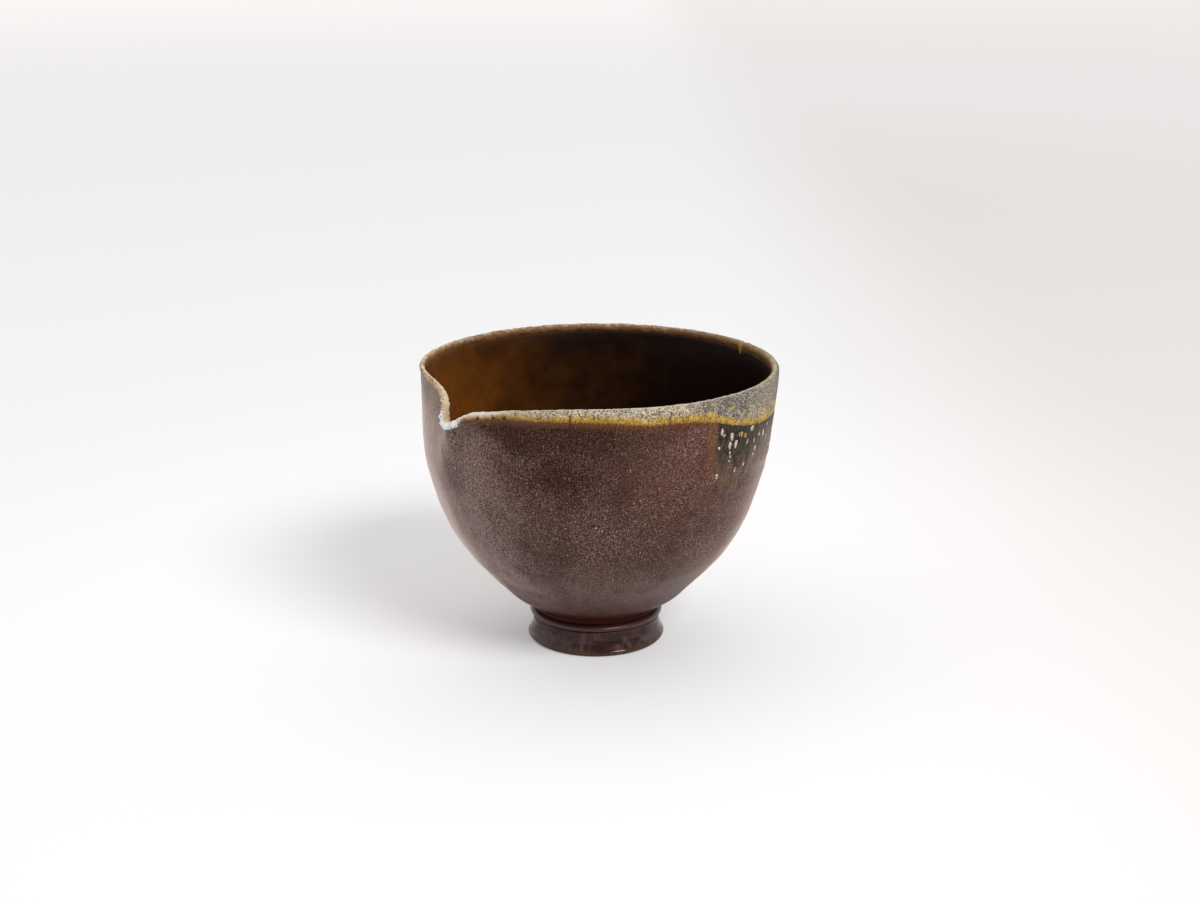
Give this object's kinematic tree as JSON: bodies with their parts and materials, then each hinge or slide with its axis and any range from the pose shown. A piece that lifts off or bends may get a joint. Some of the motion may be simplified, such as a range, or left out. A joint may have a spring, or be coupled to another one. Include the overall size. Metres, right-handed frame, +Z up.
{
  "type": "tea pitcher",
  "caption": "Round thrown stoneware pitcher with a pinched pouring spout in its rim, a turned foot ring and an ash-glazed lip.",
  "frame": {"origin": "centre of the foot ring on the surface that it rests on", "axes": "+Z up, +X towards the pouring spout, +Y to the left of the spout seen from behind it"},
  "size_m": [0.1114, 0.1092, 0.0871],
  "materials": {
    "stoneware": "satin speckled iron stoneware",
    "foot_glaze": "glossy dark iron glaze",
    "liner_glaze": "glossy amber brown glaze",
    "ash_crust": "speckled grey and mustard ash",
    "ash_run": "dark green-black ash with pale drops"
  },
  "bodies": {
    "root": {"bowl": "stoneware", "foot_ring": "foot_glaze", "liner_glaze": "liner_glaze", "rim_ash_glaze": "ash_crust", "ash_run_glaze": "ash_run"}
  },
  "joints": []
}
